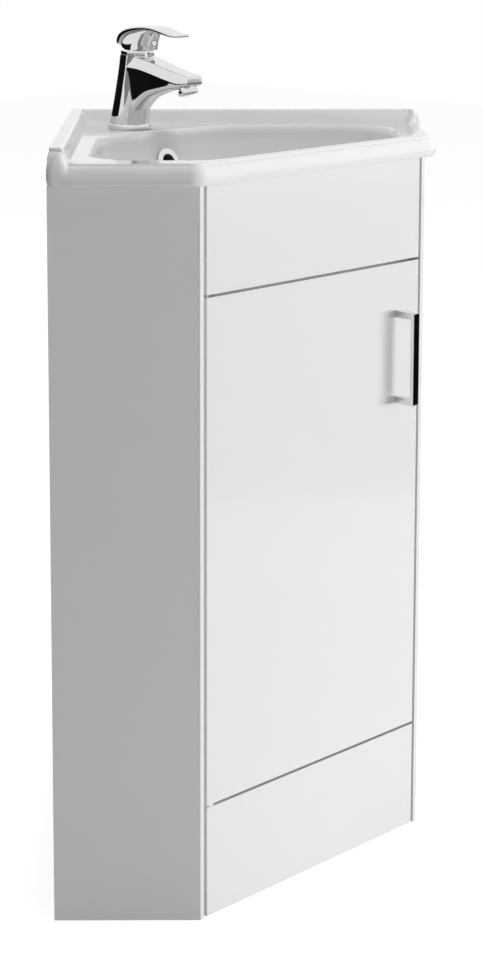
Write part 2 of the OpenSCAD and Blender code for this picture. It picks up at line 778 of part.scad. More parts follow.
left_side_panel();
right_side_panel();
base_panel();
plinth_panel();
fascia_panel();
front_rail();
upper_battens();
lower_battens();
left_upper_rail();
right_upper_rail();
left_lower_rail();
right_lower_rail();
corner_post();
joint_blocks();
joint_screws();
magnet_catch();
catch_screws();
door_bumpers();
hinge_bushes();
hinge_washer();
door();
hinge_pins();
handle();
handle_screws();
strike_plate();
strike_screws();
basin();
overflow_ring();
waste_body();
waste_seal();
waste_washer();
waste_nut();
waste_plug();
plug_seal();
tap_base_seal();
tap_base_ring();
tap_body();
tap_cartridge();
cartridge_nut();
cartridge_rotor();
cartridge_stem();
tap_head();
lever_plug();
aerator_housing();
aerator_insert();
tap_stud();
tap_clamp_seal();
tap_clamp_washer();
tap_nut();
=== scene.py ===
"""Looks of the corner vanity unit: basin, mixer tap, cupboard finishes, studio and camera."""
import sys
import json
import logging
import math
from dataclasses import dataclass
from enum import Enum
from typing import Callable, Sequence

import bpy
from mathutils import Euler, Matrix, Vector


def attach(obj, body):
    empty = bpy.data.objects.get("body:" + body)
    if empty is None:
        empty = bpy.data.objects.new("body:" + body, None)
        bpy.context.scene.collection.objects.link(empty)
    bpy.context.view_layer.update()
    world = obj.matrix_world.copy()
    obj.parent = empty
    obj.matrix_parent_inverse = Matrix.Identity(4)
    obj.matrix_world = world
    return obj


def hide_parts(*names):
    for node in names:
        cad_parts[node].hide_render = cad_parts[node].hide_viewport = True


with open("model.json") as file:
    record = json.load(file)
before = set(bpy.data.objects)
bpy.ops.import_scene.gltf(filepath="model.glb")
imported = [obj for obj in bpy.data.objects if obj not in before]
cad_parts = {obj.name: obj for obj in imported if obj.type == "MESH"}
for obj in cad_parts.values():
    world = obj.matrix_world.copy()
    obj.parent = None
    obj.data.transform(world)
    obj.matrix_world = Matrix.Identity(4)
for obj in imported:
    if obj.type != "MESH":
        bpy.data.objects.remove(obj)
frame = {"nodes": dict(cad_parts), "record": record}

log = logging.getLogger("corner_vanity")
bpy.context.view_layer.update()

MM = 0.001
ROOT2 = math.sqrt(2.0)
# Distance from the cabinet's front plane to the room corner, in mm
CORNER_Y = 389.96
# Middle of the overflow hole in the bowl's rear wall, in mm, and the wall's lean from upright
OVERFLOW_Y = 226.1
OVERFLOW_Z = 759.0
OVERFLOW_LEAN = math.atan(13.5 / 35.0)

Plan = tuple[float, float]
Point = tuple[float, float, float]
Colour = tuple[float, float, float]


class Body(Enum):
    """Bodies that a piece can ride on."""

    UNIT = "unit"
    LEVER = "tap_lever"


class Cut(Enum):
    """Ways to combine two closed shapes."""

    ADD = "UNION"
    TAKE = "DIFFERENCE"


# ---------- Bench: the shared ways of making a mesh ----------


def place(x: float, y: float, z: float) -> Point:
    """Moves a point drawn in mm from the front plane into the frame, in metres."""
    return (x * MM, (y - CORNER_Y) * MM, z * MM)


def smoothstep(t: float) -> float:
    """Eases from 0 to 1 as t goes from 0 to 1."""
    t = min(max(t, 0.0), 1.0)
    return t * t * (3.0 - 2.0 * t)


def mix(a: float, b: float, t: float) -> float:
    """Goes from a to b as t goes from 0 to 1."""
    return a + (b - a) * t


def run_through(rows: Sequence[Sequence[float]], at: float) -> list[float]:
    """Reads a table of rows at one place along its first column.

    Args:
        rows: Rows whose first number rises, each with the values at that place.
        at: The place to read.

    Returns:
        The values there, on a smooth curve through the rows.
    """
    last = len(rows) - 1
    index = 0
    while index < last - 1 and rows[index + 1][0] < at:
        index += 1
    before, low = rows[max(index - 1, 0)], rows[index]
    high, after = rows[index + 1], rows[min(index + 2, last)]
    span = high[0] - low[0]
    t = (at - low[0]) / span
    values = []
    for k in range(1, len(low)):
        slope_low = (high[k] - before[k]) / max(high[0] - before[0], 1e-9) * span
        slope_high = (after[k] - low[k]) / max(after[0] - low[0], 1e-9) * span
        values.append(
            (2 * t**3 - 3 * t**2 + 1) * low[k]
            + (t**3 - 2 * t**2 + t) * slope_low
            + (3 * t**2 - 2 * t**3) * high[k]
            + (t**3 - t**2) * slope_high
        )
    return values


def deselect_all() -> None:
    """Leaves nothing selected, because an operator acts on all that is."""
    for obj in list(bpy.context.selected_objects):
        obj.select_set(False)


def make_active(obj: bpy.types.Object) -> None:
    """Selects one object alone and makes it active."""
    deselect_all()
    obj.select_set(True)
    bpy.context.view_layer.objects.active = obj


def in_edit_mode(obj: bpy.types.Object, work: Callable[[], None]) -> None:
    """Runs mesh operators on all of an object.

    Args:
        obj: The object to work on.
        work: Calls the operators, with everything selected.
    """
    make_active(obj)
    bpy.ops.object.mode_set(mode="EDIT")
    bpy.ops.mesh.select_all(action="SELECT")
    work()
    bpy.ops.object.mode_set(mode="OBJECT")


def set_points(obj: bpy.types.Object, points: Sequence[Point]) -> None:
    """Moves every vertex of an object to its place, in the order of its vertices."""
    flat = [number for point in points for number in point]
    obj.data.vertices.foreach_set("co", flat)
    obj.data.update()


def bake_place(obj: bpy.types.Object) -> None:
    """Puts an object's place into its mesh, so that the object sits at the origin."""
    make_active(obj)
    bpy.ops.object.transform_apply(location=True, rotation=True, scale=True)


def wrap_rows(name: str, rows: Sequence[Sequence[Point]]) -> bpy.types.Object:
    """Lays a grid over rows of closed rings and sews it shut.

    Args:
        name: Name of the new object.
        rows: Rings with equal counts of points, in order.

    Returns:
        The new object, with its normals outwards.
    """
    around = len(rows[0])
    deselect_all()
    bpy.ops.mesh.primitive_grid_add(x_subdivisions=around, y_subdivisions=len(rows) - 1)
    obj = bpy.context.active_object
    obj.name = name
    bake_place(obj)
    set_points(obj, [row[i % around] for row in rows for i in range(around + 1)])

    def sew() -> None:
        """Merges the points that meet, and turns the faces outwards."""
        bpy.ops.mesh.remove_doubles(threshold=1e-7)
        bpy.ops.mesh.normals_make_consistent(inside=False)

    in_edit_mode(obj, sew)
    return obj


def wrap_ring(name: str, rings: Sequence[Sequence[Point]]) -> bpy.types.Object:
    """Makes a closed skin from a loop of closed rings, the last next to the first."""
    return wrap_rows(name, [*rings, rings[0]])


def wrap_tube(name: str, rings: Sequence[Sequence[Point]]) -> bpy.types.Object:
    """Makes a closed skin from a row of rings, with a cap fanned over each end."""
    ends = []
    for ring in (rings[0], rings[-1]):
        ends.append([tuple(sum(axis) / len(ring) for axis in zip(*ring))] * len(ring))
    return wrap_rows(name, [ends[0], *rings, ends[1]])


def use_modifier(obj: bpy.types.Object, kind: str, **settings: object) -> None:
    """Adds one modifier to an object and applies it.

    Args:
        obj: The object to change.
        kind: Blender's name for the modifier.
        **settings: The modifier's values.
    """
    make_active(obj)
    bpy.ops.object.modifier_add(type=kind)
    modifier = obj.modifiers[-1]
    for key, value in settings.items():
        setattr(modifier, key, value)
    bpy.ops.object.modifier_apply(modifier=modifier.name)


def combine(obj: bpy.types.Object, tool: bpy.types.Object, how: Cut) -> None:
    """Adds a closed shape to an object or takes it away, and removes the shape.

    Args:
        obj: The object to change.
        tool: The shape to combine it with.
        how: Whether the shape is added or taken away.
    """
    use_modifier(obj, "BOOLEAN", operation=how.value, object=tool, solver="EXACT")
    bpy.data.objects.remove(tool)


def cut_flat(obj: bpy.types.Object, z: float, up: float) -> None:
    """Cuts a closed shape flat at a height, and fills the cut.

    Args:
        obj: The shape.
        z: The height, in mm.
        up: 1 to remove what lies above, or -1 to remove what lies below.
    """
    def cut() -> None:
        """Bisects the mesh."""
        bpy.ops.mesh.bisect(
            plane_co=place(0.0, 0.0, z), plane_no=(0.0, 0.0, up), clear_outer=True, use_fill=True
        )

    in_edit_mode(obj, cut)


def fuse(obj: bpy.types.Object, other: bpy.types.Object, voxel: float, passes: int) -> None:
    """Grows two closed shapes together under one smoothed skin.

    Args:
        obj: The shape that keeps its name.
        other: The shape that joins it.
        voxel: Size of the skin's cells, in mm.
        passes: How often the skin is smoothed.
    """
    join_into(obj, other)
    use_modifier(obj, "REMESH", mode="VOXEL", voxel_size=voxel * MM)
    use_modifier(obj, "SMOOTH", factor=0.5, iterations=passes)


def join_into(first: bpy.types.Object, *others: bpy.types.Object) -> None:
    """Joins other objects into the first one."""
    deselect_all()
    for obj in others:
        obj.select_set(True)
    first.select_set(True)
    bpy.context.view_layer.objects.active = first
    bpy.ops.object.join()


def rod(radius: float, length: float, centre: Point, tilt: float = 0.0) -> bpy.types.Object:
    """Makes a plain round cutter.

    Args:
        radius: Its radius, in mm.
        length: Its length, in mm.
        centre: Its middle, drawn in mm.
        tilt: Its turn about X, in degrees, where 0 stands it upright.

    Returns:
        The cutter.
    """
    deselect_all()
    bpy.ops.mesh.primitive_cylinder_add(
        vertices=64,
        radius=radius * MM,
        depth=length * MM,
        location=place(*centre),
        rotation=(math.radians(tilt), 0.0, 0.0),
    )
    obj = bpy.context.active_object
    bake_place(obj)
    return obj


def block(size: Point, centre: Point, tilt: float = 0.0) -> bpy.types.Object:
    """Makes a plain box cutter.

    Args:
        size: Its width, depth and height, in mm.
        centre: Its middle, drawn in mm.
        tilt: Its turn about X, in degrees.

    Returns:
        The cutter.
    """
    deselect_all()
    bpy.ops.mesh.primitive_cube_add(
        size=1.0,
        location=place(*centre),
        rotation=(math.radians(tilt), 0.0, 0.0),
        scale=tuple(side * MM for side in size),
    )
    obj = bpy.context.active_object
    bake_place(obj)
    return obj


def squircle(count: int, half_w: float, half_h: float, power: float) -> list[Plan]:
    """Draws a closed outline between an ellipse and a rectangle.

    Args:
        count: Number of points.
        half_w: Half its width.
        half_h: Half its height.
        power: 2 for an ellipse, and more for squarer corners.

    Returns:
        Its points.
    """
    points = []
    for i in range(count):
        turn = 2.0 * math.pi * i / count
        c, s = math.cos(turn), math.sin(turn)
        x = half_w * math.copysign(abs(c) ** (2.0 / power), c)
        z = half_h * math.copysign(abs(s) ** (2.0 / power), s)
        points.append((x, z))
    return points


def rounded(
    corners: Sequence[Plan], radii: Sequence[float], arc: int, sides: Sequence[Sequence[float]]
) -> list[Plan]:
    """Draws an outline with rounded corners.

    Args:
        corners: The corners, counter-clockwise.
        radii: A radius for each corner.
        arc: Steps in each corner.
        sides: For the side after each corner, the places along it from 0 to 1.

    Returns:
        The outline's points.
    """
    count = len(corners)
    arcs = []
    for i in range(count):
        here = Vector(corners[i])
        before = (Vector(corners[i - 1]) - here).normalized()
        after = (Vector(corners[(i + 1) % count]) - here).normalized()
        half = before.angle(after) / 2.0
        centre = here + (before + after).normalized() * radii[i] / math.sin(half)
        start = here + before * radii[i] / math.tan(half) - centre
        end = here + after * radii[i] / math.tan(half) - centre
        first = math.atan2(start.y, start.x)
        turn = (math.atan2(end.y, end.x) - first + math.pi) % (2.0 * math.pi) - math.pi
        angles = [first + turn * k / arc for k in range(arc + 1)]
        arcs.append([centre + Vector((math.cos(a), math.sin(a))) * radii[i] for a in angles])
    points = []
    for i in range(count):
        points += [tuple(p) for p in arcs[i]]
        start, end = arcs[i][-1], arcs[(i + 1) % count][0]
        points += [tuple(start.lerp(end, t)) for t in sides[i]]
    return points


def shade_smooth(obj: bpy.types.Object, degrees: float) -> None:
    """Shades an object smooth where its faces meet at less than an angle."""
    make_active(obj)
    bpy.ops.object.shade_smooth_by_angle(angle=math.radians(degrees))


# ---------- Finishes ----------


Socket = int | str
Wire = tuple[bpy.types.Node, Socket, bpy.types.Node, Socket]


def add_node(
    nodes: bpy.types.Nodes, kind: str, values: dict[Socket, object] | None = None, **settings: object
) -> bpy.types.Node:
    """Adds a node.

    Args:
        nodes: The nodes of the tree.
        kind: Blender's name for the node.
        values: Values of its inputs.
        **settings: Its own settings.

    Returns:
        The node.
    """
    node = nodes.new(kind)
    for key, value in settings.items():
        setattr(node, key, value)
    set_inputs(node, values or {})
    return node


def set_inputs(node: bpy.types.Node, values: dict[Socket, object]) -> None:
    """Sets the unlinked inputs of a node."""
    for key, value in values.items():
        node.inputs[key].default_value = value


def wire(links: bpy.types.NodeLinks, *wires: Wire) -> None:
    """Links sockets of nodes.

    Args:
        links: The links of the node tree.
        *wires: For each link, a node with its output and a node with its input.
    """
    for source, output, target, entry in wires:
        links.new(source.outputs[output], target.inputs[entry])


class Effects:
    """Node groups that several finishes share, each built once."""

    def __init__(self) -> None:
        """Builds the groups."""
        self.mottle = self._mottle()
        self.peel = self._peel()

    @staticmethod
    def _new_group(name: str, inputs: dict[str, float], outputs: dict[str, str]) -> bpy.types.NodeTree:
        """Starts a shader node group.

        Args:
            name: Its name.
            inputs: Names and defaults of its number inputs.
            outputs: Names of its outputs and their socket kinds.

        Returns:
            The group, which also has a Vector input.
        """
        tree = bpy.data.node_groups.new(name, "ShaderNodeTree")
        tree.interface.new_socket("Vector", in_out="INPUT", socket_type="NodeSocketVector")
        for key, value in inputs.items():
            socket = tree.interface.new_socket(key, in_out="INPUT", socket_type="NodeSocketFloat")
            socket.default_value = value
        for key, kind in outputs.items():
            tree.interface.new_socket(key, in_out="OUTPUT", socket_type=kind)
        return tree

    def _mottle(self) -> bpy.types.NodeTree:
        """Builds soft patches that change a colour and a roughness a little."""
        tree = self._new_group(
            "soft_mottle",
            {"Scale": 12.0, "Middle": 0.3, "Swing": 0.05},
            {"Mask": "NodeSocketFloat", "Value": "NodeSocketFloat"},
        )
        given = tree.nodes.new("NodeGroupInput")
        result = tree.nodes.new("NodeGroupOutput")
        noise = add_node(tree.nodes, "ShaderNodeTexNoise", {"Detail": 5.0, "Roughness": 0.55})
        centred = add_node(tree.nodes, "ShaderNodeMath", {1: 0.5}, operation="SUBTRACT")
        swing = add_node(tree.nodes, "ShaderNodeMath", operation="MULTIPLY_ADD")
        wire(
            tree.links,
            (given, "Vector", noise, "Vector"), (given, "Scale", noise, "Scale"),
            (noise, "Fac", centred, 0), (centred, 0, swing, 0), (given, "Swing", swing, 1),
            (given, "Middle", swing, 2), (noise, "Fac", result, "Mask"), (swing, 0, result, "Value"),
        )
        return tree

    def _peel(self) -> bpy.types.NodeTree:
        """Builds the height of a lacquer or glaze that flowed while wet."""
        tree = self._new_group(
            "flow_peel",
            {"Fine": 500.0, "Broad": 25.0, "Share": 0.5},
            {"Height": "NodeSocketFloat"},
        )
        given = tree.nodes.new("NodeGroupInput")
        result = tree.nodes.new("NodeGroupOutput")
        fine = add_node(tree.nodes, "ShaderNodeTexNoise", {"Detail": 1.0})
        broad = add_node(tree.nodes, "ShaderNodeTexNoise", {"Detail": 2.0})
        both = tree.nodes.new("ShaderNodeMix")
        wire(
            tree.links,
            (given, "Vector", fine, "Vector"), (given, "Vector", broad, "Vector"),
            (given, "Fine", fine, "Scale"), (given, "Broad", broad, "Scale"),
            (given, "Share", both, "Factor"), (fine, "Fac", both, "A"),
            (broad, "Fac", both, "B"), (both, "Result", result, "Height"),
        )
        return tree


# Turning marks and mesh cells to the metre, and the half width of a wire as a share of a cell
TURNING_SCALE = 420.0
MESH_SCALE = 900.0
MESH_WIRE = 0.2


class Pattern(Enum):
    """Patterns that a finish may add to its soft mottle."""

    NONE = 0
    TURNED = 1
    MESH = 2


@dataclass(frozen=True)
class Finish:
    """One finish, built as a node material with colour and gloss that change softly.

    Args:
        slot: The record's material slot.
        light: Its colour where the mottle is light.
        dark: Its colour where the mottle is dark.
        roughness: Its mean roughness.
        swing: How far the roughness changes to each side.
        patch: Scale of the mottle, in patches to the metre.
        fine: Scale of the finer height.
        broad: Scale of the broader height.
        share: Share of the broader height.
        depth: Depth of the height, in metres.
        metallic: 1 for bare metal.
        coat: Weight of a clear coat.
        coat_roughness: Roughness of the coat.
        ior: Index of refraction.
        pattern: A further pattern.
        pattern_centre: Middle of the pattern, in metres.
    """

    slot: str
    light: Colour
    dark: Colour
    roughness: float
    swing: float = 0.04
    patch: float = 9.0
    fine: float = 500.0
    broad: float = 25.0
    share: float = 0.5
    depth: float = 0.0
    metallic: float = 0.0
    coat: float = 0.0
    coat_roughness: float = 0.03
    ior: float = 1.5
    pattern: Pattern = Pattern.NONE
    pattern_centre: Point = (0.0, 0.0, 0.0)

    def build(self, effects: Effects) -> bpy.types.Material:
        """Builds the material.

        Args:
            effects: The shared node groups.

        Returns:
            The material.
        """
        material = bpy.data.materials.new("finish_" + self.slot)
        material.use_nodes = True
        nodes, links = material.node_tree.nodes, material.node_tree.links
        shader = nodes["Principled BSDF"]
        set_inputs(shader, {
            "Metallic": self.metallic, "IOR": self.ior,
            "Coat Weight": self.coat, "Coat Roughness": self.coat_roughness,
        })
        place_in = nodes.new("ShaderNodeTexCoord")
        mapping = add_node(
            nodes, "ShaderNodeMapping", {"Location": tuple(-c for c in self.pattern_centre)}
        )
        mottle = nodes.new("ShaderNodeGroup")
        mottle.node_tree = effects.mottle
        set_inputs(mottle, {"Scale": self.patch, "Middle": self.roughness, "Swing": self.swing * 4.0})
        colour = nodes.new("ShaderNodeMix")
        colour.data_type = "RGBA"
        set_inputs(colour, {"A": (*self.dark, 1.0), "B": (*self.light, 1.0)})
        peel = nodes.new("ShaderNodeGroup")
        peel.node_tree = effects.peel
        set_inputs(peel, {"Fine": self.fine, "Broad": self.broad, "Share": self.share})
        bump = add_node(nodes, "ShaderNodeBump", {"Strength": 1.0, "Distance": self.depth})
        wire(
            links,
            (place_in, "Object", mapping, "Vector"), (mapping, "Vector", mottle, "Vector"),
            (mottle, "Mask", colour, "Factor"), (colour, "Result", shader, "Base Color"),
            (mottle, "Value", shader, "Roughness"), (mapping, "Vector", peel, "Vector"),
            (bump, "Normal", shader, "Normal"),
        )
        links.new(self._patterned(nodes, links, mapping, peel, colour), bump.inputs["Height"])
        return material

    def _patterned(
        self,
        nodes: bpy.types.Nodes,
        links: bpy.types.NodeLinks,
        mapping: bpy.types.Node,
        peel: bpy.types.Node,
        colour: bpy.types.Node,
    ) -> bpy.types.NodeSocket:
        """Adds turning marks or a mesh to the height.

        Args:
            nodes: The material's nodes.
            links: The material's links.
            mapping: The node that centres the pattern.
            peel: The group that gives the plain height.
            colour: The node that mixes the colours.

        Returns:
            The socket with the height.
        """
        if self.pattern is Pattern.TURNED:
            rings = add_node(
                nodes, "ShaderNodeTexWave",
                {"Scale": TURNING_SCALE, "Distortion": 1.2, "Detail": 2.0},
                wave_type="RINGS", rings_direction="Z",
            )
            both = add_node(nodes, "ShaderNodeMath", operation="ADD")
            wire(links, (mapping, "Vector", rings, "Vector"), (rings, "Fac", both, 0))
            wire(links, (peel, "Height", both, 1))
            return both.outputs[0]
        if self.pattern is Pattern.MESH:
            cells = add_node(
                nodes, "ShaderNodeTexVoronoi", {"Scale": MESH_SCALE, "Randomness": 0.0},
                feature="DISTANCE_TO_EDGE",
            )
            holes = add_node(nodes, "ShaderNodeMath", {1: MESH_WIRE}, operation="LESS_THAN")
            wire(links, (mapping, "Vector", cells, "Vector"), (cells, "Distance", holes, 0))
            wire(links, (holes, 0, colour, "Factor"))
            return holes.outputs[0]
        return peel.outputs["Height"]


FINISHES = (
    Finish(
        "white_board", (0.862, 0.862, 0.872), (0.842, 0.842, 0.852), 0.34,
        fine=700.0, broad=60.0, share=0.3, depth=0.00003,
    ),
    Finish(
        "front_board", (0.872, 0.876, 0.890), (0.852, 0.856, 0.870), 0.20, swing=0.02,
        fine=420.0, broad=14.0, share=0.55, depth=0.00003, coat=0.8, coat_roughness=0.04,
    ),
    Finish(
        "ceramic", (0.88, 0.88, 0.88), (0.865, 0.865, 0.865), 0.10, swing=0.015,
        fine=160.0, broad=18.0, share=0.7, depth=0.00006, coat=0.4, coat_roughness=0.02,
    ),
    Finish(
        "chrome", (0.74, 0.745, 0.755), (0.70, 0.705, 0.715), 0.05, swing=0.015, patch=40.0,
        fine=300.0, broad=40.0, share=0.6, depth=0.000004, metallic=1.0,
    ),
    Finish(
        "plug_metal", (0.80, 0.81, 0.82), (0.74, 0.75, 0.76), 0.10, swing=0.03, patch=60.0,
        depth=0.000006, metallic=1.0,
    ),
    Finish(
        "steel", (0.66, 0.67, 0.69), (0.56, 0.57, 0.60), 0.32, swing=0.06, patch=90.0,
        fine=900.0, broad=120.0, depth=0.00002, metallic=1.0,
    ),
    Finish(
        "nylon", (0.88, 0.88, 0.855), (0.85, 0.85, 0.82), 0.42, swing=0.05, patch=60.0,
        fine=1200.0, broad=200.0, depth=0.00003,
    ),
    Finish(
        "rubber", (0.055, 0.055, 0.057), (0.035, 0.035, 0.037), 0.68, swing=0.06, patch=80.0,
        fine=1500.0, broad=300.0, depth=0.00004,
    ),
    Finish(
        "brass", (0.80, 0.62, 0.31), (0.70, 0.52, 0.25), 0.26, swing=0.05, patch=90.0,
        depth=0.00003, metallic=1.0, pattern=Pattern.TURNED, pattern_centre=place(0.0, 130.0, 0.0),
    ),
    Finish(
        "aerator_mesh", (0.34, 0.34, 0.35), (0.03, 0.03, 0.03), 0.40,
        depth=0.0002, pattern=Pattern.MESH,
    ),
)


@dataclass
class Workshop:
    """Holds the materials by slot and signs off each finished piece."""

    materials: dict[str, bpy.types.Material]

    def sign_off(
        self, obj: bpy.types.Object, node: str, body: Body, slot: str, smooth: float = 32.0
    ) -> bpy.types.Object:
        """Gives a new piece its finish and lets it stand for a CAD node.

        Args:
            obj: The piece.
            node: The CAD node that it stands for.
            body: The body that it rides on.
            slot: Its material slot.
            smooth: The angle up to which it is shaded smooth, in degrees.

        Returns:
            The piece.
        """
        obj.name = node + "_skin"
        self.finish(obj, body, slot, smooth)
        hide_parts(node)
        return obj

    def finish(self, obj: bpy.types.Object, body: Body, slot: str, smooth: float) -> bpy.types.Object:
        """Gives a new piece its finish and its body.

        Args:
            obj: The piece.
            body: The body that it rides on.
            slot: Its material slot.
            smooth: The angle up to which it is shaded smooth, in degrees.

        Returns:
            The piece.
        """
        shade_smooth(obj, smooth)
        obj.data.materials.clear()
        obj.data.materials.append(self.materials[slot])
        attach(obj, body.value)
        log.info("%s: %d faces", obj.name, len(obj.data.polygons))
        return obj


# ---------- Basin ----------


@dataclass
class Basin:
    """Ceramic basin with a rounded edge, upstands on both walls and a six-cornered bowl.

    Sizes are in mm. Its plan is bounded by the front and by the lines |x| - y = side_line
    and |x| + y = wall_line.
    """

    side_line: float = 191.97
    wall_line: float = CORNER_Y
    front_over: float = 9.0
    corner_r: float = 25.0
    wall_corner_r: float = 6.0
    apex_r: float = 3.0
    under_z: float = 770.0
    deck_z: float = 792.5
    under_deck_z: float = 780.5
    upstand_h: float = 15.3
    upstand_top: float = 14.0
    upstand_slope: float = 9.0
    upstand_end: float = 14.0
    edge_to: float = 14.0
    deck_from: float = 27.0
    deck_front: float = 16.0
    recess: float = 34.0
    recess_front: float = 12.0
    bowl_front: float = 16.0
    bowl_back: float = 237.0
    bowl_front_line: float = 132.0
    bowl_side_x: float = 232.5
    bowl_side_y: float = 100.5
    bowl_back_line: float = 333.0
    floor_half_x: float = 60.0
    floor_r: float = 35.0
    channel_half_w: float = 13.0
    channel_half_t: float = 4.0
    wall_t: float = 10.0
    bowl_depth: float = 116.5
    waste_y: float = 130.0
    waste_hole_r: float = 23.0
    boss_r: float = 36.0
    boss_z: float = 655.0
    tap_y: float = 288.0
    tap_hole_r: float = 17.5
    overflow_r: float = 10.25

    # Inset and height along the rounded edge, from the underside to the deck
    EDGE = (
        (4.0, 770.0), (2.2, 770.4), (1.0, 771.4), (0.2, 773.6), (0.0, 777.0), (0.3, 780.6),
        (1.2, 784.0), (2.5, 786.9), (4.2, 789.0), (6.0, 790.1), (7.0, 790.3), (7.4, 790.5),
        (7.7, 791.8), (8.4, 792.4), (9.4, 792.5), (14.0, 792.5),
    )
    # Depth, front inset, and side and rear inset of the bowl
    LIP = (
        (0.0, -5.5, -5.5), (0.3, -3.2, -3.3), (1.1, -1.2, -1.5), (2.5, 0.6, -0.1), (4.3, 2.3, 1.1),
    )
    BOWL = (
        (6.0, 4.0, 2.0), (17.0, 10.5, 4.5), (52.0, 31.5, 18.0), (92.5, 55.0, 38.0),
    )
    BOWL_RADII = (55.0, 55.0, 55.0, 60.0, 60.0, 55.0)
    # Share of the way from the bowl's foot to its floor, and depth there
    FLOOR = ((0.2, 98.6), (0.4, 104.1), (0.6, 108.8), (0.8, 112.4), (1.0, 114.7))
    # Distance from the front and height along the overflow's channel
    CHANNEL = ((247.0, 752.5), (218.0, 684.0), (159.0, 666.0))

    def __post_init__(self) -> None:
        """Draws the plan's outlines at the edge, where the edge ends and where the deck is flat."""
        self.outer = self.outline(0.0, 0.0)
        self.middle = self.outline(self.edge_to, self.edge_to)
        self.inner = self.outline(self.deck_from, self.deck_front)

    def spot(self, index: int, inset: float) -> Plan:
        """Gives one point of the plan at an inset, between the three outlines."""
        if inset <= self.edge_to:
            a, b, share = self.outer[index], self.middle[index], inset / self.edge_to
        else:
            a, b = self.middle[index], self.inner[index]
            share = (inset - self.edge_to) / (self.deck_from - self.edge_to)
        return mix(a[0], b[0], share), mix(a[1], b[1], share)

    def edge_corners(self, inset: float, front_inset: float) -> list[Plan]:
        """Gives the five corners of the plan at an inset, and at another one in front."""
        front_y = front_inset - self.front_over
        front = self.side_line - inset * ROOT2 + front_y
        wall = (self.side_line + self.wall_line) / 2.0 - inset * ROOT2
        wall_y = (self.wall_line - self.side_line) / 2.0
        return [
            (-front, front_y), (front, front_y), (wall, wall_y),
            (0.0, self.wall_line - inset * ROOT2), (-wall, wall_y),
        ]

    def bowl_corners(self, front: float, side: float) -> list[Plan]:
        """Gives the six corners of the bowl's plan at two insets."""
        front_y = self.bowl_front + front
        back_y = self.bowl_back - side
        front_x = front_y + self.bowl_front_line - side * ROOT2
        side_x = self.bowl_side_x - side * ROOT2
        back_x = self.bowl_back_line - side * ROOT2 - back_y
        return [
            (-front_x, front_y), (front_x, front_y), (side_x, self.bowl_side_y),
            (back_x, back_y), (-back_x, back_y), (-side_x, self.bowl_side_y),
        ]

    def outline(self, inset: float, front_inset: float) -> list[Plan]:
        """Draws the basin's plan at two insets, with the same count of points at each."""
        even = [k / 90.0 for k in range(1, 90)]
        rising = [k / 40.0 * 0.7 for k in range(1, 40)] + [0.7 + k / 40.0 * 0.3 for k in range(40)]
        falling = [1.0 - t for t in reversed(rising)]
        front_r = max(self.corner_r - inset, 2.0)
        radii = [front_r, front_r, self.wall_corner_r, self.apex_r, self.wall_corner_r]
        sides = [even, rising, even, even, falling]
        return rounded(self.edge_corners(inset, front_inset), radii, 14, sides)

    def upstand_at(self, x: float, y: float) -> float:
        """Tells how far a place belongs to an upstand, from 0 on the deck to 1 on its top."""
        distance = (self.wall_line - abs(x) - y) / ROOT2
        return 1.0 - smoothstep((distance - self.upstand_top) / self.upstand_slope)

    def sharpness(self, index: int) -> float:
        """Tells how far the edge narrows along the walls; below 0 it widens, at the walls' ends."""
        x, y = self.outer[index]
        from_side = (self.side_line - abs(x) + y) / ROOT2
        return mix(-0.4, 0.65, smoothstep(from_side / self.upstand_end)) * self.upstand_at(x, y)

    def edge_rings(self) -> list[list[Point]]:
        """Makes the rings of the rounded edge, which narrows and rises at the upstands."""
        rings = []
        for inset, z in self.EDGE:
            ring = []
            for i in range(len(self.outer)):
                x, y = self.spot(i, inset * (1.0 - self.sharpness(i)))
                rise = 1.0 + self.upstand_h * self.upstand_at(x, y) / (self.deck_z - self.under_z)
                ring.append(place(x, y, self.under_z + (z - self.under_z) * rise))
            rings.append(ring)
        return rings

    def deck_rings(self) -> list[list[Point]]:
        """Makes the rings from the edge over the upstand's slope to the flat deck."""
        rings = []
        steps = 15
        for k in range(1, steps + 1):
            flat = mix(self.edge_to, self.deck_from, k / steps)
            ring = []
            for i, (x0, y0) in enumerate(self.outer):
                start = self.edge_to * (1.0 - self.sharpness(i))
                raised = mix(start, self.deck_from, k / steps)
                x, y = self.spot(i, mix(flat, raised, self.upstand_at(x0, y0)))
                ring.append(place(x, y, self.deck_z + self.upstand_h * self.upstand_at(x, y)))
            rings.append(ring)
        return rings

    def rays(self) -> list[Vector]:
        """Gives the directions from the bowl's middle to each point of the deck's outline."""
        middle = Vector((0.0, self.waste_y))
        return [(Vector(p) - middle).normalized() for p in self.inner]

    def cast(self, shape: Sequence[Plan], z: float) -> list[Point]:
        """Makes a ring where the rays cross a closed plan.

        Args:
            shape: The plan's points.
            z: The ring's height.

        Returns:
            The ring's points.
        """
        middle = Vector((0.0, self.waste_y))
        spokes = [Vector(p) - middle for p in shape]
        angles = [math.atan2(s.y, s.x) for s in spokes]
        ring = []
        for ray in self.rays():
            angle = math.atan2(ray.y, ray.x)
            for k, start in enumerate(spokes):
                end = spokes[(k + 1) % len(spokes)]
                width = (angles[(k + 1) % len(spokes)] - angles[k]) % (2.0 * math.pi)
                offset = (angle - angles[k]) % (2.0 * math.pi)
                if offset <= width and width < math.pi:
                    side = end - start
                    reach = start.cross(side) / ray.cross(side)
                    spot = middle + ray * reach
                    ring.append(place(spot.x, spot.y, z))
                    break
        return ring

    def bowl_ring(self, depth: float, front: float, side: float) -> list[Point]:
        """Makes the bowl's ring at a depth and two insets."""
        fine = [k / 12.0 for k in range(1, 12)]
        shape = rounded(self.bowl_corners(front, side), self.BOWL_RADII, 24, [fine] * 6)
        return self.cast(shape, self.deck_z - depth)

